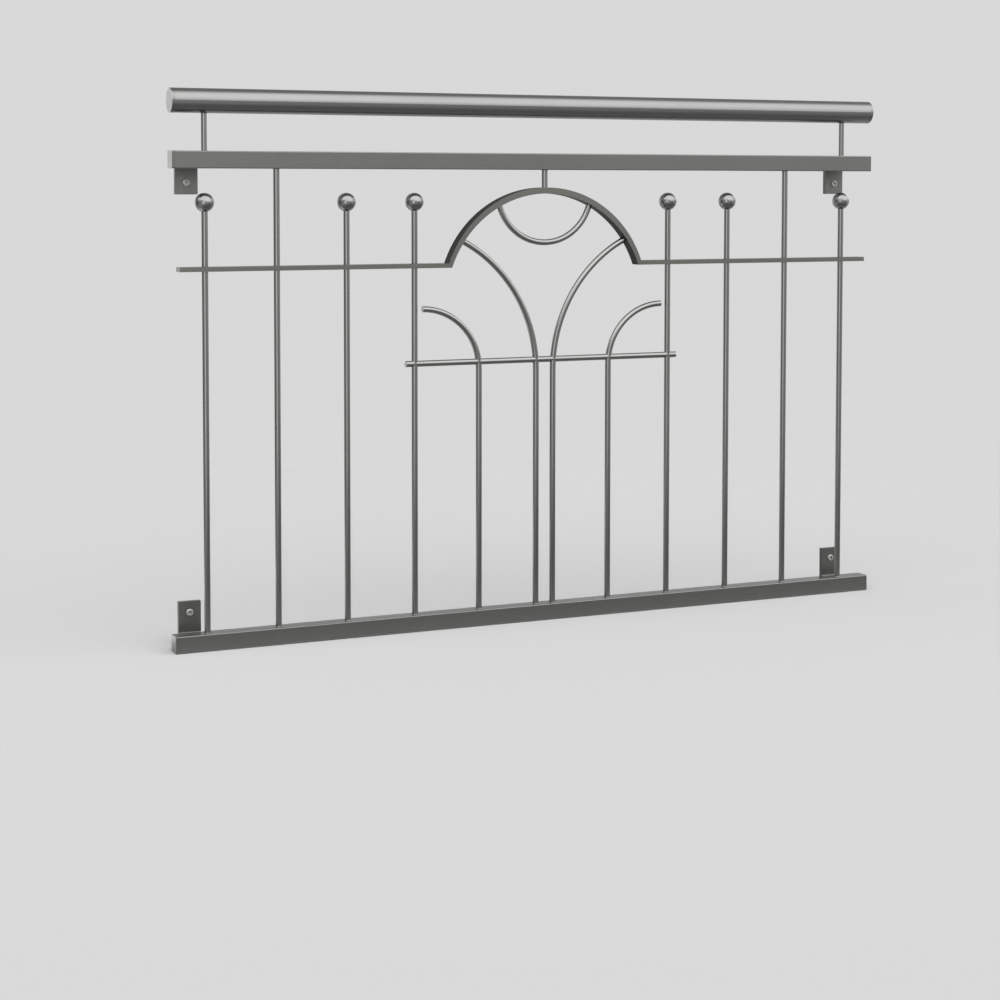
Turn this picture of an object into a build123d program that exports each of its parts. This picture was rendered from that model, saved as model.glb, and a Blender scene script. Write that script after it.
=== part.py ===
from build123d import *
import os
from math import hypot, sqrt

# Juliet balcony: a stainless steel guard that is screwed to the wall across a tall window.
# X runs along the wall, Y goes into it and Z is up, in millimetres. The origin lies on the
# wall face of the lower left bracket, midway across it and level with the bottom rail's top.

# Rails: two square tubes with a cap in each end
rail_length = 1400         # over both caps
rail_size = 30
rail_wall = 2
rail_corner = 1.5          # outside corner radius
rail_clear = 800           # bottom rail's top face to top rail's underside
wall_gap = 60              # wall to the plane that all the bars stand in

# Handrail: a round tube on two pins
handrail_diameter = 42.4
handrail_wall = 2
handrail_gap = 64          # clear of the top rail
pin_diameter = 10          # the two pins that carry it

# Caps, alike in the rails and the handrail
cap_thickness = 5
cap_plug = 12              # plug's length inside the tube
cap_bevel = 0.3

# Round bars
bar_diameter = 11
bar_pitch = 128            # bars stand at two to five pitches from the middle
ball_diameter = 33
ball_drop = 58             # ball's centre below the top rail
ball_socket = 12           # depth of the blind hole in the ball

# Flat band with the arch in its middle
band_thickness = 8
band_depth = 25            # front to back
band_drop = 168            # band's top below the top rail
band_inset = 13            # band's ends from the rail's ends
arch_radius = 206          # outside of the arch
arch_drop = 32             # crown below the top rail
arch_crown = 11            # arch's thickness at the crown; it thins to the band's at its feet

# Bent rods
bowl_radius = 94           # centre line of the rod that hangs under the crown
bowl_drop = 132.5          # its lowest point below the top rail
fan_offset = 17            # upright part of a fan rod from the middle
fan_bend_height = 433      # where a fan rod starts to bend
fan_radius = 267.5
tulip_offset = 131         # upright part of a tulip rod from the middle
tulip_bend_height = 440
tulip_radius = 110
cross_height = 452.5       # level of the rod that crosses them
cross_overhang = 17        # its ends past the middle of the outer bars

# Wall brackets: flat bar bent to an L, with its short leg on the back of a rail
bracket_width = 40
bracket_thickness = 8
bracket_bend = 3           # inside radius of the bend
bracket_reach = 60.5       # free end from the middle of the short leg
bracket_lift = 1           # short leg's middle above the rail's
bracket_inset = 42.5       # bracket's middle from the rail's end
bracket_corner = 1.5
screw_hole = 9
screw_from_end = 20

fit_clearance = 0.15       # round each bar in a hole, and at each saddle cut

# Places that follow from the sizes above
mid_x = rail_length / 2 - bracket_inset
bar_y = -wall_gap
bar_radius = bar_diameter / 2
bottom_rail_axis = -rail_size / 2
top_rail_axis = rail_clear + rail_size / 2
top_rail_top = rail_clear + rail_size
handrail_radius = handrail_diameter / 2
handrail_axis = top_rail_top + handrail_gap + handrail_radius
tube_length = rail_length - 2 * cap_thickness
ball_level = rail_clear - ball_drop
ball_bar_top = ball_level - ball_diameter / 2 + ball_socket
band_top = rail_clear - band_drop
band_bottom = band_top - band_thickness
band_end = rail_length / 2 - band_inset

# The arch's two circles: the inside one is lower, so that the arch thins to its feet
arch_top = rail_clear - arch_drop
arch_centre = arch_top - arch_radius
foot_cosine = (band_top - arch_centre) / arch_radius
inside_centre = arch_centre - (arch_crown - band_thickness) / (1 - foot_cosine)
inside_radius = arch_top - arch_crown - inside_centre
outer_foot = sqrt(arch_radius**2 - (band_top - arch_centre) ** 2)
inner_foot = sqrt(inside_radius**2 - (band_bottom - inside_centre) ** 2)

# Upright plane through the middle of every bar, seen from the front
bar_plane = Plane(origin=(mid_x, bar_y, 0), x_dir=(1, 0, 0), z_dir=(0, -1, 0))

SIDES = {"left": -1, "right": 1}


def save(part, label):
    """Name a finished piece and write its file."""
    part.label = label
    export_step(part, f"parts/{label}.step")


def higher_crossing(x1, z1, r1, x2, z2, r2):
    """Higher point where two circles of the bar plane cross, as x and z."""
    apart = hypot(x2 - x1, z2 - z1)
    along = (r1**2 - r2**2 + apart**2) / (2 * apart)
    across = sqrt(r1**2 - along**2)
    ux = (x2 - x1) / apart
    uz = (z2 - z1) / apart
    points = [
        (x1 + along * ux - sign * across * uz, z1 + along * uz + sign * across * ux)
        for sign in (-1, 1)
    ]
    return max(points, key=lambda point: (round(point[1], 6), point[0]))


def end_plane(level, side):
    """Plane on one end of a tube at this level, facing outwards."""
    end_x = mid_x + side * tube_length / 2
    return Plane(origin=(end_x, bar_y, level), x_dir=(0, side, 0), z_dir=(side, 0, 0))


def rail(level):
    """Square tube of a rail, between its caps."""
    with BuildPart() as tube:
        with BuildSketch(end_plane(level, -1)):
            RectangleRounded(rail_size, rail_size, rail_corner)
            offset(amount=-rail_wall, mode=Mode.SUBTRACT)
        extrude(amount=-tube_length)
    return tube.part


def rail_cap(level, side):
    """Square cap: a bevelled plate flush with the tube, and a plug inside it."""
    with BuildPart() as cap:
        with BuildSketch(end_plane(level, side)):
            RectangleRounded(rail_size, rail_size, rail_corner)
        extrude(amount=cap_thickness)
        chamfer(cap.faces().filter_by(Axis.X).edges(), cap_bevel)
        with BuildSketch(end_plane(level, side)):
            RectangleRounded(rail_size, rail_size, rail_corner)
            offset(amount=-rail_wall - fit_clearance, mode=Mode.REPLACE)
        extrude(amount=-cap_plug)
    return cap.part


def handrail_cap(side):
    """Round cap of the handrail, made like the square ones."""
    with BuildPart() as cap:
        with BuildSketch(end_plane(handrail_axis, side)):
            Circle(handrail_radius)
        extrude(amount=cap_thickness)
        chamfer(cap.faces().filter_by(Axis.X).edges(), cap_bevel)
        with BuildSketch(end_plane(handrail_axis, side)):
            Circle(handrail_radius - handrail_wall - fit_clearance)
        extrude(amount=-cap_plug)
    return cap.part


def upright_bar(offset_x, low, high, radius=bar_radius):
    """Straight round bar at this distance from the middle."""
    with BuildPart() as bar:
        with BuildSketch(Plane.XY.offset(low)):
            with Locations((mid_x + offset_x, bar_y)):
                Circle(radius)
        extrude(amount=high - low)
    return bar.part


def bent_rod(offset_x, bend_height, end, radius=bar_radius):
    """Rod that rises from the bottom rail and then bends in one arc to its end."""
    with BuildPart() as rod:
        with BuildLine(bar_plane):
            leg = Line((offset_x, 0), (offset_x, bend_height))
            TangentArc(leg @ 1, bar_plane.from_local_coords(end), tangent=leg % 1)
        with BuildSketch(Plane.XY):
            with Locations((mid_x + offset_x, bar_y)):
                Circle(radius)
        sweep()
    return rod.part


def rod_offset(offset_x, bend_height, radius, level):
    """Distance from the middle at which a bent rod passes this level."""
    rise = max(level - bend_height, 0)
    return offset_x + radius - sqrt(radius**2 - rise**2)


def handrail_pin(side):
    """Short pin from the top rail to the underside of the handrail."""
    with BuildPart() as pin:
        add(upright_bar(side * 5 * bar_pitch, top_rail_top, handrail_axis, pin_diameter / 2))
        with BuildSketch(end_plane(handrail_axis, -1)):
            Circle(handrail_radius + fit_clearance)
        extrude(amount=-tube_length, mode=Mode.SUBTRACT)
    return pin.part


def band_arm(side):
    """Straight arm of the band, mitred to the arch and bored for the bars."""
    with BuildPart() as arm:
        with BuildSketch(bar_plane):
            with BuildLine():
                Polyline(
                    (side * band_end, band_bottom),
                    (side * band_end, band_top),
                    (side * outer_foot, band_top),
                    (side * inner_foot, band_bottom),
                    close=True,
                )
            make_face()
        extrude(amount=band_depth / 2, both=True)
        with BuildSketch(Plane.XY.offset(band_bottom)):
            with Locations(*[(mid_x + side * n * bar_pitch, bar_y) for n in (2, 3, 4, 5)]):
                Circle(bar_radius + fit_clearance)
        extrude(amount=band_thickness, mode=Mode.SUBTRACT)
    return arm.part


def arch(swell=0):
    """Arch of the band; swell grows its outline into a cutter for what meets it."""
    with BuildPart() as body:
        with BuildSketch(bar_plane):
            with BuildLine():
                ThreePointArc((-outer_foot, band_top), (0, arch_top), (outer_foot, band_top))
                Line((outer_foot, band_top), (inner_foot, band_bottom))
                ThreePointArc(
                    (inner_foot, band_bottom), (0, arch_top - arch_crown), (-inner_foot, band_bottom)
                )
                Line((-inner_foot, band_bottom), (-outer_foot, band_top))
            make_face()
            if swell:
                offset(amount=swell)
        extrude(amount=band_depth / 2, both=True)
    return body.part


def ball(offset_x):
    """Ball with a blind hole that the bar's top sits in."""
    with BuildPart() as body:
        with Locations((mid_x + offset_x, bar_y, ball_level)):
            Sphere(ball_diameter / 2)
        with BuildSketch(Plane.XY.offset(ball_bar_top)):
            with Locations((mid_x + offset_x, bar_y)):
                Circle(bar_radius + fit_clearance)
        extrude(amount=-ball_diameter, mode=Mode.SUBTRACT)
    return body.part


def wall_bracket(side, rail_axis, rise):
    """L bracket: its long leg lies on the wall and rises or hangs clear of the rail."""
    leg_level = rail_axis + bracket_lift
    near_face = leg_level + rise * bracket_thickness / 2
    far_face = leg_level - rise * bracket_thickness / 2
    free_end = leg_level + rise * bracket_reach
    rail_back = bar_y + rail_size / 2
    centre_x = mid_x + side * (rail_length / 2 - bracket_inset)
    with BuildPart() as bracket:
        with BuildSketch(Plane.YZ.offset(centre_x)) as outline:
            with BuildLine():
                Polyline(
                    (0, free_end),
                    (-bracket_thickness, free_end),
                    (-bracket_thickness, near_face),
                    (rail_back, near_face),
                    (rail_back, far_face),
                    (0, far_face),
                    close=True,
                )
            make_face()
            corners = outline.vertices()
            inside = corners.sort_by_distance((-bracket_thickness, near_face))[0]
            outside = corners.sort_by_distance((0, far_face))[0]
            fillet(inside, bracket_bend)
            fillet(outside, bracket_bend + bracket_thickness)
        extrude(amount=bracket_width / 2, both=True)
        free_edges = bracket.edges().filter_by(Axis.Y).group_by(Axis.Z)[-1 if rise > 0 else 0]
        fillet(free_edges, bracket_corner)
        with BuildSketch(Plane.XZ):
            with Locations((centre_x, free_end - rise * screw_from_end)):
                Circle(screw_hole / 2)
        extrude(amount=bracket_thickness, mode=Mode.SUBTRACT)
    return bracket.part


os.makedirs("parts", exist_ok=True)

# Rails and their caps
save(rail(bottom_rail_axis), "bottom_rail")
save(rail(top_rail_axis), "top_rail")
for word, side in SIDES.items():
    save(rail_cap(bottom_rail_axis, side), f"bottom_rail_cap_{word}")
    save(rail_cap(top_rail_axis, side), f"top_rail_cap_{word}")

# Handrail
with BuildPart() as handrail:
    with BuildSketch(end_plane(handrail_axis, -1)):
        Circle(handrail_radius)
        Circle(handrail_radius - handrail_wall, mode=Mode.SUBTRACT)
    extrude(amount=-tube_length)
save(handrail.part, "handrail_tube")
for word, side in SIDES.items():
    save(handrail_cap(side), f"handrail_cap_{word}")
    save(handrail_pin(side), f"handrail_pin_{word}")

# Band and arch
for word, side in SIDES.items():
    save(band_arm(side), f"band_{word}")
save(arch(), "arch_band")
arch_cutter = arch(swell=fit_clearance)

# Straight bars: one pair from rail to rail, and six that end in balls
for word, side in SIDES.items():
    save(upright_bar(side * 4 * bar_pitch, 0, rail_clear), f"full_bar_{word}")
for number, pitches in enumerate((-5, -3, -2, 2, 3, 5), start=1):
    save(upright_bar(pitches * bar_pitch, 0, ball_bar_top), f"ball_bar_{number}")
    save(ball(pitches * bar_pitch), f"ball_{number}")

# Pin from the top rail to the crown of the arch
with BuildPart() as crown_pin:
    add(upright_bar(0, arch_top - arch_crown / 2, rail_clear))
    add(arch_cutter, mode=Mode.SUBTRACT)
save(crown_pin.part, "crown_pin")

# Bowl rod, hung by its two ends from the inside of the arch
middle_radius = (arch_radius + inside_radius) / 2
middle_centre = (arch_centre + inside_centre) / 2
bowl_centre = rail_clear - bowl_drop + bowl_radius
bowl_x, bowl_z = higher_crossing(0, bowl_centre, bowl_radius, 0, middle_centre, middle_radius)
with BuildPart() as bowl:
    with BuildLine(bar_plane) as bowl_path:
        ThreePointArc((-bowl_x, bowl_z), (0, bowl_centre - bowl_radius), (bowl_x, bowl_z))
    with BuildSketch(Plane(origin=bowl_path.line @ 0, z_dir=bowl_path.line % 0)):
        Circle(bar_radius)
    sweep()
    add(arch_cutter, mode=Mode.SUBTRACT)
save(bowl.part, "bowl_rod")

# Fan rods, from the bottom rail to the inside of the arch
fan_x, fan_z = higher_crossing(
    fan_offset + fan_radius, fan_bend_height, fan_radius, 0, middle_centre, middle_radius
)
for word, side in SIDES.items():
    with BuildPart() as fan:
        add(bent_rod(side * fan_offset, fan_bend_height, (side * fan_x, fan_z)))
        add(arch_cutter, mode=Mode.SUBTRACT)
    save(fan.part, f"fan_rod_{word}")

# Tulip rods, which bend outwards through a quarter circle to free ends
tulip_end = (tulip_offset + tulip_radius, tulip_bend_height + tulip_radius)
for word, side in SIDES.items():
    end = (side * tulip_end[0], tulip_end[1])
    save(bent_rod(side * tulip_offset, tulip_bend_height, end), f"tulip_rod_{word}")

# Cross rod: lengths that are saddle-cut to fit between the six uprights they cross
cutter_radius = bar_radius + fit_clearance
fan_crossing = rod_offset(fan_offset, fan_bend_height, fan_radius, cross_height)
tulip_crossing = rod_offset(tulip_offset, tulip_bend_height, tulip_radius, cross_height)
right_uprights = [
    (fan_crossing, bent_rod(fan_offset, fan_bend_height, (fan_x, fan_z), cutter_radius)),
    (tulip_crossing, bent_rod(tulip_offset, tulip_bend_height, tulip_end, cutter_radius)),
    (2 * bar_pitch, upright_bar(2 * bar_pitch, 0, ball_bar_top, cutter_radius)),
]
mirror_plane = Plane(origin=(mid_x, 0, 0), z_dir=(1, 0, 0))
left_uprights = [(-x, mirror(cutter, about=mirror_plane)) for x, cutter in right_uprights]
uprights = left_uprights[::-1] + right_uprights
cross_end = 2 * bar_pitch + cross_overhang
stops = [(-cross_end, None)] + uprights + [(cross_end, None)]
for number, (start, stop) in enumerate(zip(stops, stops[1:]), start=1):
    with BuildPart() as link:
        with BuildSketch(Plane.YZ.offset(mid_x + start[0])):
            with Locations((bar_y, cross_height)):
                Circle(bar_radius)
        extrude(amount=stop[0] - start[0])
        for cutter in (start[1], stop[1]):
            if cutter is not None:
                add(cutter, mode=Mode.SUBTRACT)
    save(link.part, f"cross_rod_{number}")

# Wall brackets: the top pair hang below the top rail, the bottom pair rise above theirs
for word, side in SIDES.items():
    save(wall_bracket(side, top_rail_axis, -1), f"wall_bracket_top_{word}")
    save(wall_bracket(side, bottom_rail_axis, 1), f"wall_bracket_bottom_{word}")
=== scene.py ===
"""Dresses the juliet balcony: its ground steel, weld beads, wall screws, studio and camera.

Everything is in metres and degrees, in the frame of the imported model: X runs along the wall,
Y goes into it and Z is up. The origin lies on the wall face of the lower left bracket.
"""

import logging
import math
from contextlib import contextmanager
from dataclasses import asdict, dataclass, replace
from enum import Enum
from typing import Any, Callable, Iterator

import bpy
from mathutils import Matrix, Vector


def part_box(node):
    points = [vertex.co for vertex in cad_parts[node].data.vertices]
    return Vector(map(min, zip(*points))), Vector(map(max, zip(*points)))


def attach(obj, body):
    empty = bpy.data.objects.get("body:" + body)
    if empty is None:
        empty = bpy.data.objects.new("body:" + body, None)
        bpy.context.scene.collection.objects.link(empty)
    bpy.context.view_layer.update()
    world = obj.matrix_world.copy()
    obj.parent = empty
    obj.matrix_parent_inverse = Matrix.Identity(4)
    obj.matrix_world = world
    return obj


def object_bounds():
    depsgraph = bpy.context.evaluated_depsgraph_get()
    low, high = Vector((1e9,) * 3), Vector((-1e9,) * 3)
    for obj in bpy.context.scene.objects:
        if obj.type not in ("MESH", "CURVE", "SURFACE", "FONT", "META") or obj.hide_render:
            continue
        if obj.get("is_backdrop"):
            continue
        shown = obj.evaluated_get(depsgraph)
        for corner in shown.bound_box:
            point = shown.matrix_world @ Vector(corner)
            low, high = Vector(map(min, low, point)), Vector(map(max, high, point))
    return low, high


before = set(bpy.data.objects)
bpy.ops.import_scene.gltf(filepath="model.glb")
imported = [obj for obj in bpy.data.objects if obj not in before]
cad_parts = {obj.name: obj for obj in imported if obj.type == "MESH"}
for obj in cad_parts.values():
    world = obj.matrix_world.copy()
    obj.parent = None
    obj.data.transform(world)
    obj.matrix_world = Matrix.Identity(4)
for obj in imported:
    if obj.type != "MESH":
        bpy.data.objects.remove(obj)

MM = 0.001
BODY = "root"
PLATE = 8 * MM  # thickness of the flat bar that the brackets are bent from
HAIR = 0.1 * MM  # a point nearer than this to a face counts as on it

SKIN = 0.6 * MM  # how deep the painted highlight or shade on a face reaches round its edges
NOISE_SPAN = (0.3, 0.7)  # most of what a noise gives lies between these
BROAD_SHARE = 0.6  # how much of a streak the broad scratches make
EDGE_GLOSS = 0.3  # how much smoother a worn edge is, for its shine
BUMP_STRENGTH = 0.5
FRAYS_PER_METRE = 140.0
NODE_STEP = 180
WHITE = (1, 1, 1, 1)
VECTOR, NUMBER = "NodeSocketVector", "NodeSocketFloat"
IN_BOX = {"Coordinates": VECTOR, "Low": VECTOR, "High": VECTOR}

UPRIGHT = Matrix.Identity(4)
UPSIDE_DOWN = Matrix.Rotation(math.pi, 4, "X")

log = logging.getLogger("balcony")

Point = tuple[float, float, float]
Colour = tuple[float, float, float]
Piece = bpy.types.Object
Material = bpy.types.Material
Socket = bpy.types.NodeSocket
Group = bpy.types.NodeTree


def nodes_named(*starts: str) -> list[str]:
    """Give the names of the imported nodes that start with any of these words, in order."""
    return sorted(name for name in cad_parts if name.startswith(starts))


class Run(Enum):
    """Which way the grain of a finish runs."""

    ALONG_X = "x"
    ALONG_Z = "z"
    BEND = "bend"


@dataclass(frozen=True)
class Span:
    """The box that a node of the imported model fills."""

    low: Vector
    high: Vector

    @classmethod
    def of(cls, node: str) -> "Span":
        """Read the box of a node from its name."""
        low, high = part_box(node)
        return cls(low, high)

    @property
    def centre(self) -> Vector:
        """Middle of the box."""
        return (self.low + self.high) / 2

    @property
    def size(self) -> Vector:
        """Length of the box along each axis."""
        return self.high - self.low


@dataclass(frozen=True)
class Bend:
    """A rod's or band's curve in the upright plane, for grain that follows it.

    Its fields are named as the inputs of the effect that reads them.
    """

    middle: float
    centre_offset: float
    centre_level: float
    radius: float
    straight_below: bool = False

    @classmethod
    def of_arch(cls) -> "Bend":
        """Work out the arch's outer circle from its box and the top of the band beside it.

        Returns:
            The curve that the arch's grain follows.
        """
        arch, arm = Span.of("arch_band"), Span.of("band_left")
        rise = arch.high.z - arm.high.z
        radius = ((arch.size.x / 2) ** 2 + rise**2) / (2 * rise)
        return cls(arch.centre.x, 0.0, arch.high.z - radius, radius)


@dataclass(frozen=True)
class Finish:
    """A ground or polished steel surface.

    The grain is a set of fine scratches that are long one way and narrow the other, and the
    clouds are the soft unevenness that handling leaves. The edge shine brightens worn edges.
    The end faces get painted light: a painted highlight where their factor is above zero,
    painted shade where it is below. The faces of a flat bar above and below its ground front
    and back get painted shade.
    """

    name: str
    colour: Colour
    roughness: float
    run: Run = Run.ALONG_X
    grain_length: float = 90 * MM
    grain_width: float = 0.5 * MM
    grain_depth: float = 0.012 * MM
    grain_tone: float = 0.10
    grain_gloss: float = 0.07
    cloud_size: float = 160 * MM
    cloud_gloss: float = 0.05
    cloud_tone: float = 0.05
    edge_width: float = 1.2 * MM
    edge_shine: float = 0.25
    # Painted light: a highlight or shade on the end faces, and shade on the flats.
    end_shine: float = 0.0
    flat_dullness: float = 0.0
    flat_roughness: float = 0.0


class Graph:
    """A node tree with short ways to add and join nodes."""

    def __init__(self, tree: Group) -> None:
        """Take an empty tree to fill."""
        self.tree = tree
        self.column = 0

    @classmethod
    def of_material(cls, name: str) -> tuple[Material, "Graph", Socket]:
        """Make a material with nothing in it but the object's coordinates.

        Args:
            name: Its name.

        Returns:
            The material, its graph and the coordinates.
        """
        material = bpy.data.materials.new(name)
        material.use_nodes = True
        graph = cls(material.node_tree)
        graph.tree.nodes.clear()
        return material, graph, graph.add("TexCoord").outputs["Object"]

    def finish_faded(self, share: Any, shader: Socket) -> None:
        """End a material with a shader that shows by a share, from 0 to 1, and is clear elsewhere."""
        parts = {0: share, 1: self.add("BsdfTransparent").outputs[0], 2: shader}
        self.add("OutputMaterial", {"Surface": self.add("MixShader", parts).outputs[0]})

    def add(self, kind: str, inputs: dict[Any, Any] | None = None, **settings: Any) -> bpy.types.Node:
        """Add a node and set or join its inputs.

        Args:
            kind: Which shader node it is.
            inputs: Value or output socket for each input, by name or number.
            settings: Properties of the node.

        Returns:
            The new node.
        """
        node = self.tree.nodes.new(f"ShaderNode{kind}")
        node.location = (NODE_STEP * self.column, 0)
        self.column += 1
        for name, value in settings.items():
            setattr(node, name, value)
        for key, value in (inputs or {}).items():
            if isinstance(value, Socket):
                self.tree.links.new(value, node.inputs[key])
            else:
                node.inputs[key].default_value = value
        return node

    def maths(self, operation: str, *values: Any) -> Socket:
        """Add a Math node with its numbers or sockets, and give its output."""
        return self.add("Math", dict(enumerate(values)), operation=operation).outputs[0]

    def vectors(self, operation: str, *values: Any) -> Socket:
        """Add a Vector Math node with its vectors or sockets, and give its output."""
        return self.add("VectorMath", dict(enumerate(values)), operation=operation).outputs[0]

    def scaled(self, vector: Any, scale: Any) -> Socket:
        """Give a vector times a number or socket."""
        return self.add("VectorMath", {0: vector, "Scale": scale}, operation="SCALE").outputs[0]

    def ramp(self, value: Any, low: float, high: float, start: float = 0.0, end: float = 1.0) -> Socket:
        """Give a soft step from start to end, as a value goes from low to high."""
        inputs = {"Value": value, "From Min": low, "From Max": high, "To Min": start, "To Max": end}
        return self.add("MapRange", inputs, interpolation_type="SMOOTHSTEP").outputs["Result"]

    def use(self, group: Group, inputs: dict[str, Any]) -> Any:
        """Place a shared effect with its values or sockets, and give its outputs."""
        return self.add("Group", inputs, node_tree=group).outputs

    def split(self, vector: Any) -> list[Socket]:
        """Give the three parts of a vector."""
        return list(self.add("SeparateXYZ", {0: vector}).outputs)

    def join(self, x: Any, y: Any, z: Any) -> Socket:
        """Give a vector made of three parts."""
        return self.add("CombineXYZ", {0: x, 1: y, 2: z}).outputs[0]

    def noise(self, vector: Any, detail: float = 2.0, roughness: float = 0.5) -> Socket:
        """Add a noise of about 0 to 1, with one cell to each unit of its vector."""
        inputs = {"Vector": vector, "Scale": 1.0, "Detail": detail, "Roughness": roughness}
        return self.add("TexNoise", inputs).outputs[0]


class EffectGroups:
    """The effects that several finishes share, each built once as a node group."""

    def __init__(self) -> None:
        """Build the groups."""
        self.grain = self.build_grain()
        self.edges = self.build_edges()
        self.faces = self.build_faces()
        self.clouds = self.build_clouds()
        self.bend = self.build_bend()

    @staticmethod
    def start(name: str, inputs: dict[str, str], outputs: dict[str, str]) -> tuple[Graph, Any, Any]:
        """Make an empty group with named sockets.

        Args:
            name: Name of the group.
            inputs: Socket type of each input.
            outputs: Socket type of each output.

        Returns:
            The graph, the group's inputs and the group's outputs.
        """
        tree = bpy.data.node_groups.new(name, "ShaderNodeTree")
        for socket, kind in inputs.items():
            tree.interface.new_socket(name=socket, in_out="INPUT", socket_type=kind)
        for socket, kind in outputs.items():
            tree.interface.new_socket(name=socket, in_out="OUTPUT", socket_type=kind)
        graph = Graph(tree)
        source, result = tree.nodes.new("NodeGroupInput"), tree.nodes.new("NodeGroupOutput")
        return graph, source.outputs, result.inputs

    def build_grain(self) -> Group:
        """Fine and broad scratches that run along the first coordinate.

        Returns:
            The group, with outputs Fine and Broad.
        """
        graph, given, result = self.start(
            "ground_grain",
            {"Coordinates": VECTOR, "Length": NUMBER, "Width": NUMBER},
            {"Fine": NUMBER, "Broad": NUMBER},
        )
        along, across, deep = graph.split(given["Coordinates"])
        for socket, stretch in (("Fine", 1.0), ("Broad", 6.0)):
            length = graph.maths("MULTIPLY", given["Length"], stretch)
            width = graph.maths("MULTIPLY", given["Width"], stretch)
            cell = graph.join(
                graph.maths("DIVIDE", along, length),
                graph.maths("DIVIDE", across, width),
                graph.maths("DIVIDE", deep, width),
            )
            graph.tree.links.new(graph.noise(cell, detail=3.0, roughness=0.6), result[socket])
        return graph.tree

    @staticmethod
    def to_faces(graph: Graph, given: Any) -> list[Socket]:
        """Measure how far a place in a box lies from the nearer face, along each axis.

        Args:
            graph: Graph of the group.
            given: The group's inputs.

        Returns:
            The three distances.
        """
        above = graph.vectors("SUBTRACT", given["Coordinates"], given["Low"])
        below = graph.vectors("SUBTRACT", given["High"], given["Coordinates"])
        return graph.split(graph.vectors("MINIMUM", above, below))

    def build_edges(self) -> Group:
        """Mask of the places that lie near two faces of a box at once.

        Returns:
            The group, with output Edge.
        """
        graph, given, result = self.start("worn_edges", {**IN_BOX, "Width": NUMBER}, {"Edge": NUMBER})
        near_x, near_y, near_z = self.to_faces(graph, given)
        # Two faces are near where the second smallest distance is small.
        smaller = graph.maths("MINIMUM", near_x, near_y)
        larger = graph.maths("MAXIMUM", near_x, near_y)
        second = graph.maths("MAXIMUM", smaller, graph.maths("MINIMUM", larger, near_z))
        fray = graph.noise(given["Coordinates"], detail=3.0, roughness=0.6)
        fray.node.inputs["Scale"].default_value = FRAYS_PER_METRE
        reach = graph.maths("MULTIPLY", given["Width"], graph.ramp(fray, *NOISE_SPAN, 0.5, 1.5))
        share = graph.maths("DIVIDE", second, reach)
        graph.tree.links.new(graph.ramp(share, 0.2, 1.0, 1.0, 0.0), result["Edge"])
        return graph.tree

    def build_faces(self) -> Group:
        """Masks of the end faces of a box, and of its front and back.

        Returns:
            The group, with outputs Ends and Fronts.
        """
        graph, given, result = self.start(
            "ground_faces", {**IN_BOX, "Skin": NUMBER}, {"Ends": NUMBER, "Fronts": NUMBER}
        )
        for near, socket in zip(self.to_faces(graph, given), ("Ends", "Fronts")):
            share = graph.maths("DIVIDE", near, given["Skin"])
            graph.tree.links.new(graph.ramp(share, 0.5, 1.0, 1.0, 0.0), result[socket])
        return graph.tree

    def build_clouds(self) -> Group:
        """Soft patches where hands and weather have dulled the steel.

        Returns:
            The group, with output Cloud.
        """
        graph, given, result = self.start(
            "dull_patches", {"Coordinates": VECTOR, "Size": NUMBER}, {"Cloud": NUMBER}
        )
        cell = graph.scaled(given["Coordinates"], graph.maths("DIVIDE", 1.0, given["Size"]))
        cloud = graph.noise(cell, detail=4.0, roughness=0.55)
        graph.tree.links.new(graph.ramp(cloud, 0.32, 0.68), result["Cloud"])
        return graph.tree

    def build_bend(self) -> Group:
        """Coordinates that follow a rod up its straight leg and round its bend.

        Returns:
            The group, with output Coordinates: along the rod, across it and into the wall.
        """
        numbers = ("Middle", "Centre Offset", "Centre Level", "Radius", "Straight Below")
        inputs = {"Coordinates": VECTOR, **dict.fromkeys(numbers, NUMBER)}
        graph, given, result = self.start("round_the_bend", inputs, {"Coordinates": VECTOR})
        x, y, z = graph.split(given["Coordinates"])
        aside = graph.maths("ABSOLUTE", graph.maths("SUBTRACT", x, given["Middle"]))
        inward = graph.maths("SUBTRACT", given["Centre Offset"], aside)
        upward = graph.maths("SUBTRACT", z, given["Centre Level"])
        square = graph.maths("MULTIPLY_ADD", inward, inward, graph.maths("MULTIPLY", upward, upward))
        run_bent = graph.maths("MULTIPLY", graph.maths("ARCTAN2", upward, inward), given["Radius"])
        across_bent = graph.maths("SUBTRACT", given["Radius"], graph.maths("SQRT", square))
        bent = graph.join(run_bent, across_bent, y)
        straight = graph.join(upward, graph.maths("SUBTRACT", given["Radius"], inward), y)
        is_below = graph.maths("LESS_THAN", upward, 0.0)
        share = graph.maths("MULTIPLY", is_below, given["Straight Below"])
        change = graph.scaled(graph.vectors("SUBTRACT", straight, bent), share)
        graph.tree.links.new(graph.vectors("ADD", bent, change), result["Coordinates"])
        return graph.tree


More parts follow.
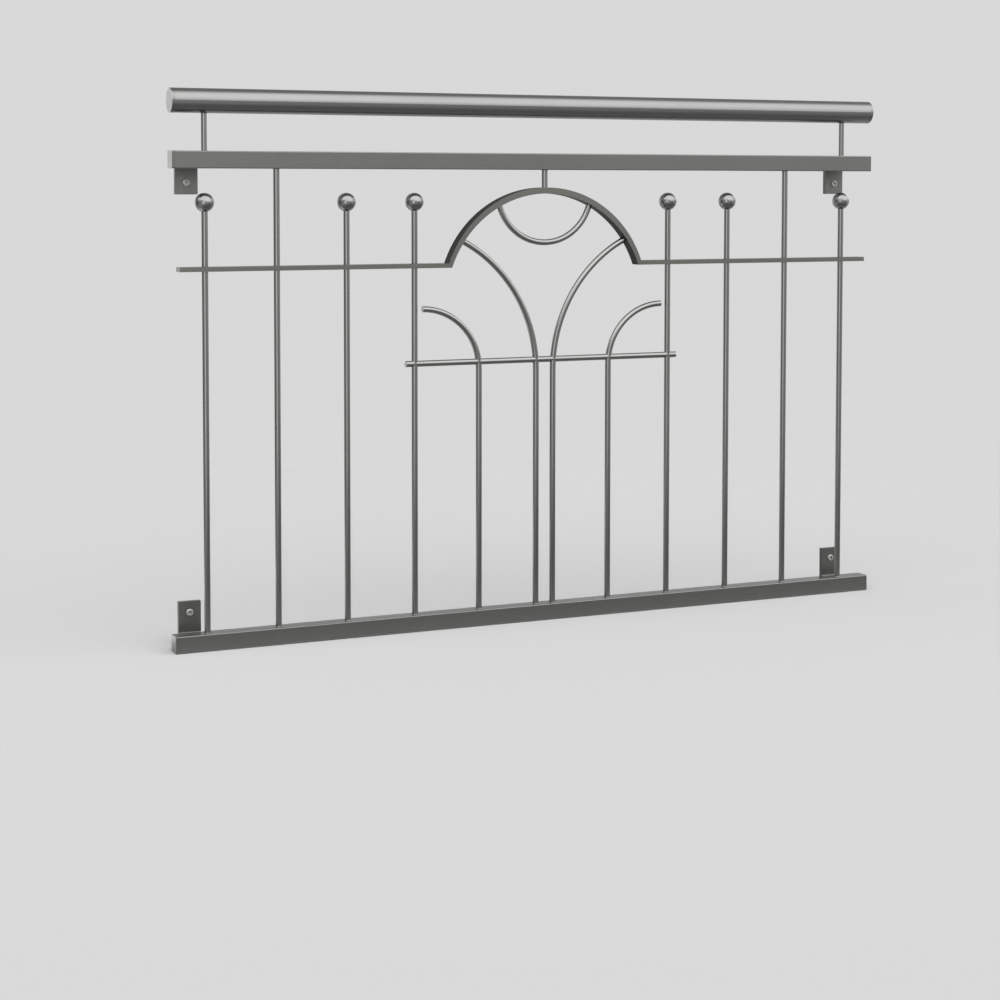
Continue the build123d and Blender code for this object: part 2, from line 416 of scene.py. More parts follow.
class FinishShop:
    """Turns finishes into materials, and puts them on pieces."""

    def __init__(self) -> None:
        """Build the shared effects."""
        self.effects = EffectGroups()
        self.made: dict[str, Material] = {}

    def run_of(self, graph: Graph, place: Any, run: Run, bend: Bend | None) -> Any:
        """Turn object coordinates so that the first one follows the grain.

        Args:
            graph: Graph of the material.
            place: Object coordinates.
            run: Which way the grain runs.
            bend: The curve that it follows, for a bent piece.

        Returns:
            The turned coordinates.
        """
        if run is Run.BEND and bend is not None:
            fields = asdict(bend).items()
            values = {name.replace("_", " ").title(): float(value) for name, value in fields}
            return graph.use(self.effects.bend, {"Coordinates": place, **values})["Coordinates"]
        if run is Run.ALONG_Z:
            x, y, z = graph.split(place)
            return graph.join(z, x, y)
        return place

    def steel(
        self, finish: Finish, span: Span | None = None, bend: Bend | None = None, tag: str = ""
    ) -> Material:
        """Make the material of a finish.

        Args:
            finish: The finish.
            span: Box whose edges are worn, or None for a round piece.
            bend: Curve that the grain follows.
            tag: Added to the name where a finish has several materials.

        Returns:
            The material, made once for each name.
        """
        name = finish.name + tag
        if name in self.made:
            return self.made[name]
        material, graph, place = Graph.of_material(name)
        along = self.run_of(graph, place, finish.run, bend)
        scratch = {"Coordinates": along, "Length": finish.grain_length, "Width": finish.grain_width}
        grain = graph.use(self.effects.grain, scratch)
        patches = {"Coordinates": place, "Size": finish.cloud_size}
        cloud = graph.use(self.effects.clouds, patches)["Cloud"]
        fine, broad = (graph.ramp(grain[layer], *NOISE_SPAN) for layer in ("Fine", "Broad"))
        fine_share = graph.maths("MULTIPLY", fine, 1 - BROAD_SHARE)
        streak = graph.maths("MULTIPLY_ADD", broad, BROAD_SHARE, fine_share)
        # The scratches and the clouds set how bright and how smooth the steel is.
        tone = graph.maths("MULTIPLY_ADD", streak, finish.grain_tone, 1 - finish.grain_tone / 2)
        tone = graph.maths("MULTIPLY_ADD", cloud, -finish.cloud_tone, tone)
        roughest = finish.roughness + finish.grain_gloss / 2
        gloss = graph.maths("MULTIPLY_ADD", streak, -finish.grain_gloss, roughest)
        gloss = graph.maths("MULTIPLY_ADD", cloud, finish.cloud_gloss, gloss)
        # On a box the edges are worn; ends get painted highlight or shade, flats painted shade.
        box = {"Coordinates": place, "Low": tuple(span.low), "High": tuple(span.high)} if span else {}
        if box and finish.edge_shine:
            edge = graph.use(self.effects.edges, {**box, "Width": finish.edge_width})["Edge"]
            tone = graph.maths("MULTIPLY_ADD", edge, finish.edge_shine, tone)
            gloss = graph.maths("MULTIPLY_ADD", edge, -finish.edge_shine * EDGE_GLOSS, gloss)
        if box and (finish.end_shine or finish.flat_dullness):
            faces = graph.use(self.effects.faces, {**box, "Skin": SKIN})
            # Painted highlight or shade on the end faces, and painted shade on the flats.
            bright = graph.maths("MULTIPLY_ADD", faces["Ends"], finish.end_shine, 1.0)
            flat = graph.maths("SUBTRACT", 1.0, faces["Fronts"])
            flat_shade = graph.maths("MULTIPLY_ADD", flat, -finish.flat_dullness, 1.0)
            tone = graph.maths("MULTIPLY", tone, graph.maths("MULTIPLY", bright, flat_shade))
            gloss = graph.maths("MULTIPLY_ADD", flat, finish.flat_roughness, gloss)
        colour = graph.scaled(finish.colour, tone)
        scratches = {"Height": grain["Fine"], "Strength": BUMP_STRENGTH, "Distance": finish.grain_depth}
        bump = graph.add("Bump", scratches).outputs[0]
        surface = {"Base Color": colour, "Metallic": 1.0, "Roughness": gloss, "Normal": bump}
        shader = graph.add("BsdfPrincipled", surface)
        graph.add("OutputMaterial", {"Surface": shader.outputs[0]})
        self.made[name] = material
        return material

    @staticmethod
    def dress(piece: Piece, material: Material) -> None:
        """Put a material in every slot of a piece.

        Args:
            piece: The piece.
            material: Its finish.
        """
        if not piece.material_slots:
            piece.data.materials.append(material)
        for slot in piece.material_slots:
            slot.material = material


class Bench:
    """Hand tools with which new pieces are shaped."""

    @classmethod
    def hold(cls, piece: Piece) -> None:
        """Select one piece alone and make it active.

        Args:
            piece: The piece.
        """
        bpy.ops.object.select_all(action="DESELECT")
        piece.select_set(True)
        bpy.context.view_layer.objects.active = piece

    @classmethod
    def take(cls, name: str) -> Piece:
        """Name the primitive that was just added, and hold it.

        Args:
            name: Its name.

        Returns:
            The piece.
        """
        piece = bpy.context.active_object
        piece.name = piece.data.name = name
        cls.hold(piece)
        return piece

    @classmethod
    @contextmanager
    def editing(cls, piece: Piece, mode: str = "FACE") -> Iterator[None]:
        """Open a piece in edit mode with nothing selected.

        Args:
            piece: The piece.
            mode: What is selected: VERT, EDGE or FACE.
        """
        cls.hold(piece)
        bpy.ops.object.mode_set(mode="EDIT")
        bpy.ops.mesh.select_mode(type=mode)
        bpy.ops.mesh.select_all(action="DESELECT")
        try:
            yield
        finally:
            bpy.ops.object.mode_set(mode="OBJECT")

    @staticmethod
    def pick(piece: Piece, kind: str, test: Callable[[Any], bool]) -> None:
        """Select the vertices, edges or faces that pass a test.

        Args:
            piece: The piece, in edit mode.
            kind: "vertices", "edges" or "polygons".
            test: Says whether one of them is selected.
        """
        bpy.ops.mesh.select_all(action="DESELECT")
        bpy.ops.object.mode_set(mode="OBJECT")
        for item in getattr(piece.data, kind):
            item.select = bool(test(item))
        bpy.ops.object.mode_set(mode="EDIT")

    @classmethod
    def pick_edges(cls, piece: Piece, test: Callable[[Vector, Vector], bool]) -> None:
        """Select the edges whose two ends pass a test."""
        mesh = piece.data
        cls.pick(piece, "edges", lambda edge: test(*(mesh.vertices[end].co for end in edge.vertices)))

    @classmethod
    def apply(cls, piece: Piece, kind: str, **settings: Any) -> None:
        """Add a modifier and apply it.

        Args:
            piece: The piece.
            kind: Type of the modifier.
            settings: Its properties.
        """
        cls.hold(piece)
        modifier = piece.modifiers.new(kind.lower(), kind)
        for name, value in settings.items():
            setattr(modifier, name, value)
        bpy.ops.object.modifier_apply(modifier=modifier.name)

    @classmethod
    def ease(cls, piece: Piece, width: float, segments: int, degrees: float) -> None:
        """Round the edges of a piece that are sharper than an angle."""
        limit = {"limit_method": "ANGLE", "angle_limit": math.radians(degrees)}
        cls.apply(piece, "BEVEL", width=width, segments=segments, **limit)

    @classmethod
    def settle(cls, piece: Piece) -> None:
        """Write a piece's place into its mesh, and leave its object at the origin."""
        cls.hold(piece)
        bpy.ops.object.transform_apply(location=True, rotation=True, scale=True)

    @classmethod
    def smooth(cls, piece: Piece, degrees: float = 35.0) -> None:
        """Shade a piece smooth, apart from the edges sharper than an angle."""
        cls.hold(piece)
        bpy.ops.object.shade_smooth_by_angle(angle=math.radians(degrees))

    @classmethod
    def second_finish(cls, piece: Piece, test: Callable[[Any], bool]) -> None:
        """Give a piece two material slots, with some of its faces in the second.

        Args:
            piece: The piece.
            test: Says whether a face goes in the second slot.
        """
        cls.hold(piece)
        for _ in range(2):
            bpy.ops.object.material_slot_add()
        with cls.editing(piece):
            cls.pick(piece, "polygons", test)
            piece.active_material_index = 1
            bpy.ops.object.material_slot_assign()

    @classmethod
    def copy(cls, piece: Piece, name: str, place: Matrix) -> Piece:
        """Copy a piece, with a mesh of its own, to a new place.

        Args:
            piece: The piece that is copied; its mesh is centred on the origin.
            name: Name of the copy.
            place: Where the copy goes.

        Returns:
            The copy, with its place in its mesh.
        """
        cls.hold(piece)
        bpy.ops.object.duplicate(linked=False)
        twin = cls.take(name)
        twin.matrix_world = place
        cls.settle(twin)
        return twin

    @classmethod
    def discard(cls, piece: Piece) -> None:
        """Delete a piece that was only a tool or a pattern."""
        cls.hold(piece)
        bpy.ops.object.delete()


@dataclass
class Assembly:
    """A group of pieces that one class builds and dresses."""

    shop: FinishShop

    def dress_node(self, name: str, material: Material) -> None:
        """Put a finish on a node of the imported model."""
        self.shop.dress(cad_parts[name], material)
        log.info("dressed %s in %s", name, material.name)

    def dress_box(self, name: str, finish: Finish, tag: str, bend: Bend | None = None) -> None:
        """Put a finish that follows the edges and ends of a node's box on that node."""
        self.dress_node(name, self.shop.steel(finish, Span.of(name), bend, tag))

    def mount(self, piece: Piece, material: Material, slot: str, second: Material | None = None) -> None:
        """Dress a new piece and fix it to the balcony.

        Args:
            piece: The piece, in its place.
            material: Its finish.
            slot: Slot of the record that its finish belongs to; not used.
            second: Finish of the faces in its second slot, where it has one.
        """
        self.shop.dress(piece, material)
        if second is not None:
            piece.material_slots[1].material = second
        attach(piece, BODY)
        log.info("added %s, %d faces", piece.name, len(piece.data.polygons))


@dataclass
class Handrail(Assembly):
    """Round tube on two pins, with a cap in each end."""

    tube: Finish = Finish(
        "handrail_steel_ground", (0.215, 0.215, 0.213), 0.29,
        grain_length=120 * MM, grain_width=0.45 * MM, cloud_size=220 * MM,
    )
    # The cap's end faces are brightened as a painted highlight.
    cap: Finish = Finish(
        "handrail_cap_turned", (0.205, 0.205, 0.203), 0.30,
        grain_length=14 * MM, grain_width=0.35 * MM, grain_tone=0.06, cloud_size=30 * MM,
        edge_shine=0.0, end_shine=0.8,
    )

    def build(self) -> None:
        """Dress the tube and its caps."""
        self.dress_node("handrail_tube", self.shop.steel(self.tube))
        for side in ("left", "right"):
            self.dress_box(f"handrail_cap_{side}", self.cap, f"_{side}")


@dataclass
class Rails(Assembly):
    """The two square tubes and their caps."""

    tube: Finish = Finish(
        "rail_steel_ground", (0.196, 0.196, 0.189), 0.25,
        grain_length=110 * MM, edge_width=1.6 * MM, edge_shine=0.04,
    )
    # The caps' end faces are brightened as a painted highlight.
    cap: Finish = Finish(
        "rail_cap_ground", (0.185, 0.185, 0.18), 0.28,
        grain_length=24 * MM, grain_width=0.45 * MM, cloud_size=30 * MM, edge_width=0.8 * MM,
        edge_shine=0.05, end_shine=0.65,
    )

    def build(self) -> None:
        """Dress the tubes and their caps."""
        for level in ("top", "bottom"):
            self.dress_box(f"{level}_rail", self.tube, f"_{level}")
            for side in ("left", "right"):
                self.dress_box(f"{level}_rail_cap_{side}", self.cap, f"_{level}_{side}")


@dataclass
class Band(Assembly):
    """Flat bar with the arch in its middle."""

    # The bar's faces above and below its front and back are darkened as painted shade.
    bar: Finish = Finish(
        "band_steel_ground", (0.197, 0.195, 0.182), 0.27,
        grain_length=80 * MM, grain_width=0.45 * MM, grain_depth=0.008 * MM, grain_tone=0.07,
        edge_width=0.8 * MM, edge_shine=0.10, flat_dullness=0.35,
    )

    def build(self) -> None:
        """Dress the two arms and the arch."""
        for side in ("left", "right"):
            self.dress_box(f"band_{side}", self.bar, f"_{side}")
        # The arch's faces above and below its front and back get strong painted shade, and more
        # roughness.
        bent = replace(self.bar, run=Run.BEND, edge_shine=0.0, flat_dullness=0.84, flat_roughness=0.3)
        self.dress_box("arch_band", bent, "_arch", Bend.of_arch())


@dataclass
class Rods(Assembly):
    """Upright bars, pins, bent rods, cross rod and balls."""

    fan_radius: float = 267.5 * MM
    fan_bend_level: float = 433 * MM
    bowl_radius: float = 94 * MM
    upright: Finish = Finish(
        "bar_steel_ground_upright", (0.24, 0.24, 0.2335), 0.20, Run.ALONG_Z,
        grain_length=70 * MM, grain_width=0.4 * MM, grain_depth=0.006 * MM, grain_tone=0.07,
        cloud_size=120 * MM,
    )
    pin: Finish = Finish(
        "pin_steel_turned", (0.25, 0.25, 0.247), 0.13, Run.ALONG_Z,
        grain_length=9 * MM, grain_width=0.4 * MM, grain_depth=0.005 * MM, grain_tone=0.05,
        cloud_size=40 * MM,
    )
    ball: Finish = Finish(
        "ball_steel_polished", (0.225, 0.225, 0.224), 0.20,
        grain_length=6 * MM, grain_depth=0.004 * MM, grain_tone=0.04, grain_gloss=0.04,
        cloud_size=24 * MM,
    )

    def bends(self) -> dict[str, Bend]:
        """Work out the curve of each kind of bent rod.

        Returns:
            The curve, by the start of the nodes' names.
        """
        middle = Span.of("arch_band").centre.x
        fan, tulip, bowl = (Span.of(name) for name in ("fan_rod_right", "tulip_rod_right", "bowl_rod"))
        radius = fan.size.y / 2
        fan_centre = fan.low.x + radius - middle + self.fan_radius
        tulip_radius = tulip.size.x - radius
        tulip_level = tulip.high.z - radius - tulip_radius
        return {
            "fan_rod": Bend(middle, fan_centre, self.fan_bend_level, self.fan_radius, True),
            "tulip_rod": Bend(middle, tulip.high.x - middle, tulip_level, tulip_radius, True),
            "bowl_rod": Bend(middle, 0.0, bowl.low.z + radius + self.bowl_radius, self.bowl_radius),
        }

    def build(self) -> None:
        """Dress every rod and ball."""
        bent = replace(self.upright, run=Run.BEND)
        finishes = [
            (("ball_bar", "full_bar"), self.shop.steel(self.upright)),
            (("crown_pin", "handrail_pin"), self.shop.steel(self.pin)),
            (("cross_rod",), self.shop.steel(replace(self.upright, run=Run.ALONG_X), tag="_level")),
            (tuple(f"ball_{number}" for number in range(1, 7)), self.shop.steel(self.ball)),
        ]
        for start, bend in self.bends().items():
            finishes.append(((start,), self.shop.steel(bent, bend=bend, tag=f"_{start}")))
        for starts, material in finishes:
            for name in nodes_named(*starts):
                self.dress_node(name, material)


@dataclass
class WallFixings(Assembly):
    """The four brackets, and the screw in each."""

    # The plate's side faces are darkened as painted shade.
    plate: Finish = Finish(
        "bracket_steel_satin", (0.168, 0.1695, 0.159), 0.36, Run.ALONG_Z,
        grain_length=40 * MM, cloud_size=40 * MM, cloud_tone=0.08, edge_width=1.0 * MM,
        edge_shine=0.15, end_shine=-0.45,
    )
    screw: Finish = Finish(
        "screw_steel_bright", (0.40, 0.40, 0.392), 0.47,
        grain_length=3 * MM, grain_width=0.3 * MM, grain_tone=0.08, cloud_size=9 * MM,
    )
    # The socket is painted darker than the head: painted shade in the recess.
    recess: Finish = Finish(
        "screw_recess_painted_shade", (0.31, 0.31, 0.304), 0.47,
        grain_length=1.5 * MM, grain_width=0.3 * MM, cloud_size=4 * MM,
    )
    hole_from_end: float = 20 * MM
    head_radius: float = 6.7 * MM
    head_height: float = 2.8 * MM
    head_round: float = 2.1 * MM
    socket_width: float = 5.8 * MM
    socket_depth: float = 2.2 * MM
    socket_lip: float = 0.3 * MM
    shank_radius: float = 3.9 * MM
    wall_clearance: float = 0.2 * MM
    edge_round: float = 0.18 * MM
    turn_between: float = 17.0

    def hole(self, bracket: str) -> Vector:
        """Find the middle of a bracket's hole, on the front of its plate.

        Args:
            bracket: Name of the bracket's node.

        Returns:
            The place of the hole.
        """
        span = Span.of(bracket)
        hangs = "top" in bracket
        level = span.low.z + self.hole_from_end if hangs else span.high.z - self.hole_from_end
        return Vector((span.centre.x, span.high.y - PLATE, level))

    def pattern_screw(self) -> Piece:
        """Model one low domed socket screw, head up, with its seat at the origin.

        Returns:
            The pattern that the screws are copied from.
        """
        middle = (0, 0, self.head_height / 2)
        bpy.ops.mesh.primitive_cylinder_add(
            vertices=48, radius=self.head_radius, depth=self.head_height, location=middle
        )
        head = Bench.take("screw_pattern")
        Bench.settle(head)
        shank = PLATE - self.wall_clearance
        top = self.head_height - HAIR
        with Bench.editing(head, "EDGE"):
            Bench.pick_edges(head, lambda start, end: min(start.z, end.z) > top)
            bpy.ops.mesh.bevel(offset=self.head_round, segments=7, profile=0.5, affect="EDGES")
        with Bench.editing(head):
            Bench.pick(head, "polygons", lambda face: face.normal.z < -0.99)
            bpy.ops.mesh.inset(thickness=self.head_radius - self.shank_radius)
            bpy.ops.mesh.extrude_region_move(TRANSFORM_OT_translate={"value": (0, 0, -shank)})
        reach = self.socket_width / math.sqrt(3)
        bpy.ops.mesh.primitive_cylinder_add(
            vertices=6, radius=reach, depth=2 * self.socket_depth, location=(0, 0, self.head_height)
        )
        cutter = Bench.take("socket_cutter")
        Bench.apply(head, "BOOLEAN", object=cutter, operation="DIFFERENCE", solver="EXACT")
        Bench.discard(cutter)
        Bench.ease(head, self.edge_round, segments=2, degrees=50)
        rim = self.head_height - self.socket_lip
        # The socket's faces take the second slot, which holds its painted shade.
        Bench.second_finish(head, lambda face: 0 < face.center.z < rim and face.center.xy.length < reach)
        Bench.smooth(head, 40)
        return head

    def build(self) -> None:
        """Dress the brackets and put a screw in each."""
        pattern = self.pattern_screw()
        bright, shaded_socket = self.shop.steel(self.screw), self.shop.steel(self.recess)
        for number, bracket in enumerate(nodes_named("wall_bracket")):
            tag = bracket.removeprefix("wall_bracket")
            self.dress_box(bracket, self.plate, tag)
            driven = Matrix.Rotation(math.radians(self.turn_between * number), 4, "Z")
            turned = Matrix.Rotation(math.radians(90), 4, "X") @ driven
            place = Matrix.Translation(self.hole(bracket)) @ turned
            screw = Bench.copy(pattern, f"wall_screw{tag}", place)
            self.mount(screw, bright, "bracket_steel", shaded_socket)
        Bench.discard(pattern)


@dataclass
class Welds(Assembly):
    """Small beads where the rods, band and brackets are joined."""

    bead: Finish = Finish(
        "weld_bead", (0.22, 0.22, 0.215), 0.36,
        grain_length=2 * MM, grain_width=0.6 * MM, grain_tone=0.12, cloud_size=12 * MM,
    )
    leg: float = 0.7 * MM
    band_leg: float = 0.6 * MM
    ring_ripple: float = 0.09
    knuckle: float = 0.4 * MM
    knuckle_stand: float = 0.03 * MM
    knuckle_round: float = 0.28 * MM
    bracket_leg: float = 1.5 * MM
    bracket_ripple: float = 0.1
    bracket_round: float = 0.9 * MM
    bracket_inset: float = 2 * MM
    ripple_every: int = 3

    @property
    def rod_radius(self) -> float:
        """Radius of the round bars."""
        return Span.of("full_bar_left").size.x / 2

    def ripple(self, bead: Piece, number: Callable[[Vector], float], height: float) -> None:
        """Raise sections of a bead at equal steps.

        Args:
            bead: The bead.
            number: Gives the number of the section that a place lies on.
            height: How far a section is raised.
        """
        with Bench.editing(bead, "VERT"):
            every = self.ripple_every
            Bench.pick(bead, "vertices", lambda vertex: round(number(vertex.co)) % every == 0)
            bpy.ops.transform.shrink_fatten(value=height)

    def pattern_ring(self, leg: float, name: str) -> Piece:
        """Model a rippled bead round a bar, on the upper side of the plane through the origin.

        Args:
            leg: Reach of the bead along the bar and along the plate.
            name: Name of the pattern.

        Returns:
            The pattern.
        """
        sections = 48
        bpy.ops.mesh.primitive_torus_add(
            major_segments=sections, minor_segments=12, major_radius=self.rod_radius, minor_radius=leg
        )
        ring = Bench.take(name)
        step = 2 * math.pi / sections
        height = self.ring_ripple * leg
        self.ripple(ring, lambda place: math.atan2(place.y, place.x) % (2 * math.pi) / step, height)
        with Bench.editing(ring, "VERT"):
            bpy.ops.mesh.select_all(action="SELECT")
            bpy.ops.mesh.bisect(plane_co=(0, 0, 0), plane_no=(0, 0, 1), clear_inner=True, use_fill=True)
        Bench.smooth(ring, 50)
        return ring

    def pattern_knuckle(self) -> Piece:
        """Model the joint where two bars cross: what two slightly thicker bars share.

        Returns:
            The pattern, with the bars along X and Z.
        """
        radius = self.rod_radius + self.knuckle
        parts = []
        for turn in ((0, 0, 0), (0, math.radians(90), 0)):
            bpy.ops.mesh.primitive_cylinder_add(
                vertices=40, radius=radius, depth=4 * radius, rotation=turn
            )
            parts.append(Bench.take(f"crossing_pattern_{len(parts)}"))
            Bench.settle(parts[-1])
        crossing, other = parts
        Bench.apply(crossing, "BOOLEAN", object=other, operation="INTERSECT", solver="EXACT")
        Bench.discard(other)
        Bench.ease(crossing, self.knuckle_round, segments=3, degrees=40)
        crossing.scale.y = (self.rod_radius + self.knuckle_stand) / radius
        Bench.settle(crossing)
        Bench.smooth(crossing, 50)
        return crossing

    def pattern_seam(self, length: float) -> Piece:
        """Model a straight rippled bead along X.

        Args:
            length: Its length.

        Returns:
            The pattern.
        """
        bpy.ops.mesh.primitive_cylinder_add(
            vertices=14, radius=self.bracket_leg, depth=length, rotation=(0, math.radians(90), 0)
        )
        seam = Bench.take("seam_pattern")
        Bench.settle(seam)
        cuts = 23
        with Bench.editing(seam, "EDGE"):
            Bench.pick_edges(seam, lambda start, end: abs(start.x - end.x) > length / 2)
            bpy.ops.mesh.subdivide(number_cuts=cuts)
        pitch = length / (cuts + 1)
        self.ripple(seam, lambda place: place.x / pitch, self.bracket_ripple * self.bracket_leg)
        tip = length / 2 - HAIR
        with Bench.editing(seam, "EDGE"):
            Bench.pick_edges(seam, lambda start, end: min(abs(start.x), abs(end.x)) > tip)
            bpy.ops.mesh.bevel(offset=self.bracket_round, segments=3, affect="EDGES")
        Bench.smooth(seam, 50)
        return seam

    def add(self, pattern: Piece, name: str, place: Point, turn: Matrix = UPRIGHT) -> None:
        """Copy a bead, turned as its joint needs, to its joint."""
        bead = Bench.copy(pattern, f"weld_{name}", Matrix.Translation(place) @ turn)
        self.mount(bead, self.shop.steel(self.bead), "bar_steel")

    def foot_beads(self, ring: Piece) -> None:
        """Weld every upright to the rails that it stands on or hangs from.

        Args:
            ring: The bead round a bar.
        """
        floor, ceiling = Span.of("bottom_rail").high.z, Span.of("top_rail").low.z
        starts = ("ball_bar", "full_bar", "fan_rod", "tulip_rod", "crown_pin", "handrail_pin")
        for name in nodes_named(*starts):
            span = Span.of(name)
            x, y = span.centre.x, span.centre.y
            if "rod" in name:  # a bent rod stands on the side of its box that is nearer the middle
                is_left = name.endswith("_left")
                x = span.high.x - self.rod_radius if is_left else span.low.x + self.rod_radius
            if abs(span.low.z - floor) < MM:
                self.add(ring, f"{name}_foot", (x, y, floor))
            if abs(span.high.z - ceiling) < MM:
                self.add(ring, f"{name}_head", (x, y, ceiling), UPSIDE_DOWN)
            if name.startswith("handrail_pin"):
                slimmer = span.size.x / 2 / self.rod_radius
                fitted = Matrix.Diagonal((slimmer, slimmer, 1, 1))
                self.add(ring, f"{name}_foot", (x, y, span.low.z), fitted)
                underside = Span.of("handrail_tube").low.z
                self.add(ring, f"{name}_head", (x, y, underside), UPSIDE_DOWN @ fitted)

    def band_beads(self, ring: Piece) -> None:
        """Weld the bars to the underside of the band that they pass through.

        Args:
            ring: The smaller bead round a bar.
        """
        arms = [Span.of("band_left"), Span.of("band_right")]
        for name in nodes_named("ball_bar", "full_bar"):
            centre = Span.of(name).centre
            for arm in arms:
                if arm.low.x < centre.x < arm.high.x:
                    self.add(ring, f"{name}_band", (centre.x, centre.y, arm.low.z), UPSIDE_DOWN)

    def crossing_beads(self, knuckle: Piece) -> None:
        """Weld the lengths of the cross rod to the uprights between them.

        Args:
            knuckle: The bead where two bars cross.
        """
        links = [Span.of(name) for name in nodes_named("cross_rod")]
        for number, (before, after) in enumerate(zip(links, links[1:]), start=1):
            x = (before.high.x + after.low.x) / 2
            self.add(knuckle, f"crossing_{number}", (x, before.centre.y, before.centre.z))

    def bracket_beads(self, seam: Piece) -> None:
        """Weld the short leg of each bracket to the back of its rail.

        Args:
            seam: The straight bead.
        """
        for bracket in nodes_named("wall_bracket"):
            span = Span.of(bracket)
            outer, inner = span.low.z, span.low.z + PLATE
            if "top" in bracket:
                outer, inner = span.high.z, span.high.z - PLATE
            for word, level in (("outer", outer), ("inner", inner)):
                self.add(seam, f"{bracket}_{word}", (span.centre.x, span.low.y, level))

    def build(self) -> None:
        """Model each kind of bead once, and copy it to its joints."""
        ring = self.pattern_ring(self.leg, "ring_pattern")
        small_ring = self.pattern_ring(self.band_leg, "small_ring_pattern")
        knuckle = self.pattern_knuckle()
        seam = self.pattern_seam(Span.of("wall_bracket_top_left").size.x - self.bracket_inset)
        self.foot_beads(ring)
        self.band_beads(small_ring)
        self.crossing_beads(knuckle)
        self.bracket_beads(seam)
        for pattern in (ring, small_ring, knuckle, seam):
            Bench.discard(pattern)


@dataclass(frozen=True)
class Card:
    """A board that stands round the balcony, light or dark, and is seen only in the steel.

    Its turn is measured from straight in front of the balcony, to the right as one faces it. Its
    core is the share that is solid, inside the soft edges.
    """

    name: str
    turn: float
    rise: float
    width: float
    height: float
    level: float
    core: float = 0.25
    distance: float = 4.0
    lies: bool = False

    def build(self, centre: Vector) -> None:
        """Stand the board up, facing the balcony.

        Args:
            centre: Middle of the balcony.
        """
        turn, rise = math.radians(self.turn), math.radians(self.rise)
        flat = math.cos(rise)
        away = Vector((math.sin(turn) * flat, -math.cos(turn) * flat, math.sin(rise)))
        bpy.ops.mesh.primitive_grid_add(x_subdivisions=24, y_subdivisions=24, size=1.0)
        board = Bench.take(self.name)
        board.scale = (self.width, self.height, 1.0)
        if not self.lies:
            board.rotation_euler = (-away).to_track_quat("Z", "Y").to_euler()
        board.location = centre + away * self.distance
        for ray in ("camera", "diffuse", "shadow", "transmission"):
            setattr(board, f"visible_{ray}", False)
        FinishShop.dress(board, self.paint(board.location, board.rotation_euler.to_matrix()))
        Bench.settle(board)
        board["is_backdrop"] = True
        log.info("stood up %s", self.name)

    def paint(self, middle: Vector, turned: Matrix) -> Material:
        """Make the board's paint, which fades out towards its edges.

        Args:
            middle: Middle of the board.
            turned: How the board is turned.

        Returns:
            The material.
        """
        material, graph, place = Graph.of_material(self.name)
        offset = graph.vectors("SUBTRACT", place, tuple(middle))
        share = []
        for axis, reach in ((turned.col[0], self.width / 2), (turned.col[1], self.height / 2)):
            dot = graph.add("VectorMath", {0: offset, 1: tuple(axis)}, operation="DOT_PRODUCT")
            far = graph.maths("ABSOLUTE", dot.outputs["Value"])
            share.append(graph.ramp(far, self.core * reach, reach, 1.0, 0.0))
        solid = graph.maths("MULTIPLY", *share)
        light = graph.add("Emission", {"Color": WHITE, "Strength": self.level}).outputs[0]
        graph.finish_faded(solid, light)
        return material


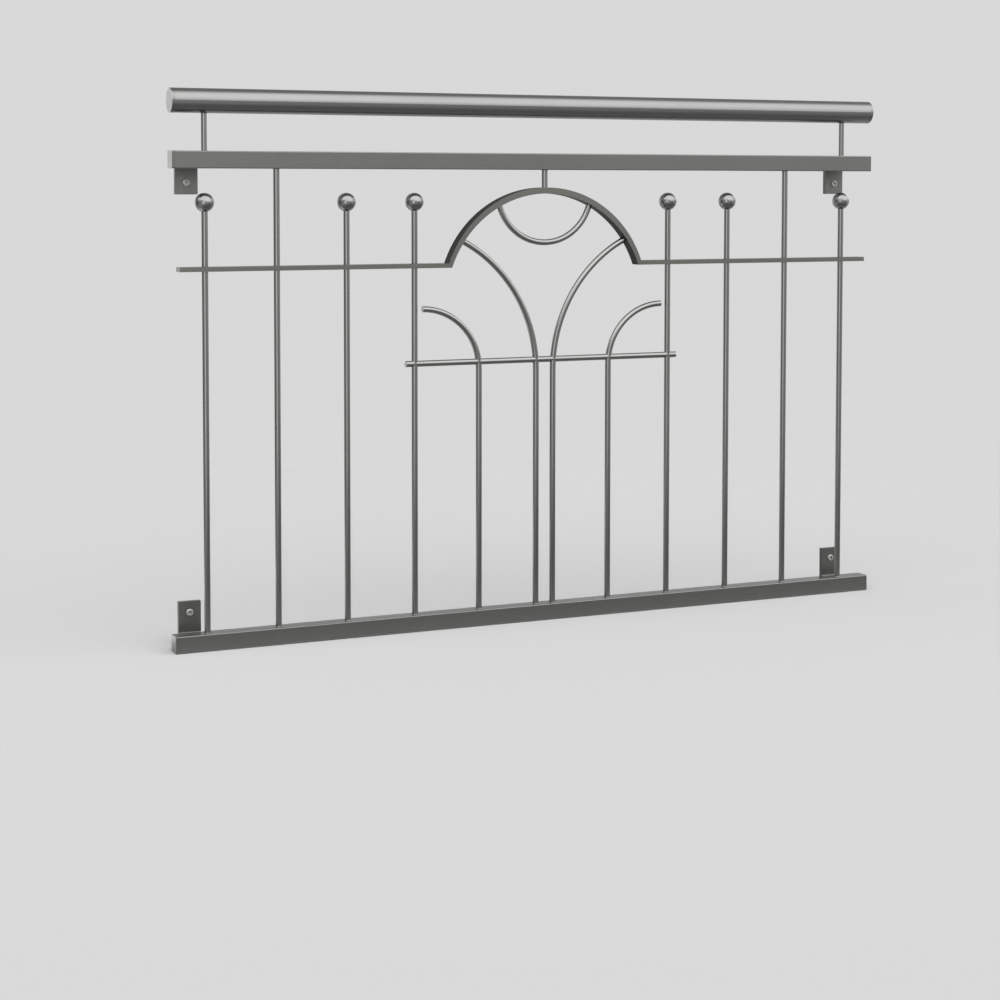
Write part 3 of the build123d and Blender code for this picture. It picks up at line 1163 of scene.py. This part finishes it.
@dataclass
class Studio:
    """Pale floor, soft light from above and plain surroundings."""

    floor_colour: Colour = (0.47, 0.47, 0.47)
    floor_radius: float = 3.2
    floor_rim: float = 0.96
    floor_fade: tuple[float, float] = (0.75, 3.1)
    backdrop: float = 0.69
    ceiling: float = 0.42
    bank: float = 2.75
    bank_front: tuple[float, float] = (2.0, 22.0)
    bank_back: tuple[float, float] = (66.0, 100.0)
    bank_ends: tuple[float, float] = (0.8, 1.0)
    bank_lean: float = 42.0
    horizon: tuple[float, float] = (0.12, 0.5)
    cards: tuple[Card, ...] = (
        Card("left_flag", -106.0, -2.0, 4.8, 3.6, 0.28, 0.5),
        Card("front_flag", 29.0, -6.0, 4.2, 1.8, 0.46, 0.6),
        Card("rim_card", -33.0, 9.0, 2.2, 4.6, 2.30, 0.35),
        Card("right_card", 86.0, 0.0, 1.3, 2.4, 1.20, 0.3),
        Card("high_card", 100.0, 23.0, 3.6, 2.4, 2.40, 0.5),
        Card("end_card", -156.0, 4.0, 3.0, 2.4, 1.20, 0.5),
        Card("foot_card", -114.6, -27.2, 0.72, 0.72, 1.45, 0.8, distance=1.052, lies=True),
        Card("floor_flag", 26.6, -25.5, 4.8, 2.2, 0.27, 0.455, distance=1.115, lies=True),
    )

    def build_floor(self) -> None:
        """Lay a round floor that fades into the surroundings."""
        low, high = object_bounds()
        centre = (low + high) / 2
        bpy.ops.mesh.primitive_circle_add(
            vertices=96, radius=self.floor_radius, fill_type="NGON", location=(centre.x, centre.y, low.z)
        )
        floor = Bench.take("floor")
        with Bench.editing(floor):
            bpy.ops.mesh.select_all(action="SELECT")
            bpy.ops.mesh.inset(thickness=self.floor_rim)
        Bench.settle(floor)
        material, graph, place = Graph.of_material("floor_paint")
        offset = graph.vectors("SUBTRACT", place, (centre.x, centre.y, low.z))
        distance = graph.add("VectorMath", {0: offset}, operation="LENGTH").outputs["Value"]
        fade = graph.ramp(distance, *self.floor_fade, 1.0, 0.0)
        diffuse = graph.add("BsdfDiffuse", {"Color": (*self.floor_colour, 1)}).outputs[0]
        graph.finish_faded(fade, diffuse)
        FinishShop.dress(floor, material)
        floor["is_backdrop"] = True
        log.info("laid the floor")

    def build_world(self) -> None:
        """Surround the balcony with a pale horizon, a dim ceiling and a long soft bank of light."""
        world = bpy.data.worlds.new("studio")
        bpy.context.scene.world = world
        world.use_nodes = True
        graph = Graph(world.node_tree)
        graph.tree.nodes.clear()
        ray = graph.add("TexCoord").outputs["Generated"]
        x, y, z = graph.split(ray)
        # The bank lies along X, from low in front to overhead, and its left end lies further up.
        tilt = graph.maths("ARCTAN2", z, graph.maths("MULTIPLY", y, -1.0))
        left = graph.maths("MINIMUM", x, 0.0)
        lean = graph.maths("MULTIPLY_ADD", left, math.radians(self.bank_lean), tilt)
        front = graph.ramp(lean, *(math.radians(angle) for angle in self.bank_front))
        back = graph.ramp(lean, *(math.radians(angle) for angle in self.bank_back), 1.0, 0.0)
        ends = graph.ramp(graph.maths("ABSOLUTE", x), *self.bank_ends, 1.0, 0.0)
        bank = graph.maths("MULTIPLY", graph.maths("MULTIPLY", front, back), ends)
        plain = graph.ramp(z, *self.horizon, self.backdrop, self.ceiling)
        lit = graph.maths("MULTIPLY_ADD", bank, graph.maths("SUBTRACT", self.bank, plain), plain)
        # The eye sees the plain backdrop alone; the ceiling and the bank show only in the steel.
        is_seen = graph.add("LightPath").outputs["Is Camera Ray"]
        levels = {"Factor": is_seen, "A": lit, "B": self.backdrop}
        level = graph.add("Mix", levels, data_type="FLOAT").outputs["Result"]
        background = graph.add("Background", {"Color": WHITE, "Strength": level}).outputs[0]
        graph.add("OutputWorld", {"Surface": background})
        log.info("set the surroundings")

    def build(self) -> None:
        """Set up the whole studio."""
        self.build_floor()
        self.build_world()
        low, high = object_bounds()
        for card in self.cards:
            card.build((low + high) / 2)
        bpy.context.scene.view_settings.view_transform = "Standard"


@dataclass
class Viewpoint:
    """The camera: eye height, a little to the left, with its frame dropped below the lens."""

    place: Point = (-0.9094, -3.4281, 0.7678)
    yaw: float = 23.69
    pitch: float = -3.181
    roll: float = -0.036
    lens: float = 72.844
    drop: float = 0.20

    def build(self) -> None:
        """Set up the camera."""
        camera = bpy.data.cameras.new("eye")
        camera.lens = self.lens
        camera.sensor_width = 36.0
        camera.shift_y = -self.drop
        holder = bpy.data.objects.new("eye", camera)
        bpy.context.scene.collection.objects.link(holder)
        aim = (
            Matrix.Rotation(math.radians(-self.yaw), 4, "Z")
            @ Matrix.Rotation(math.radians(90 + self.pitch), 4, "X")
            @ Matrix.Rotation(math.radians(-self.roll), 4, "Z")
        )
        holder.matrix_world = Matrix.Translation(self.place) @ aim
        bpy.context.scene.camera = holder
        log.info("placed the camera")


def main() -> None:
    """Dress the balcony, and set up the studio and the camera."""
    logging.basicConfig(level=logging.INFO, format="%(name)s: %(message)s")
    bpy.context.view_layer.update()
    Viewpoint().build()
    shop = FinishShop()
    for assembly in (Handrail, Rails, Band, Rods, WallFixings, Welds):
        assembly(shop).build()
    Studio().build()


if __name__ == "__main__":
    main()
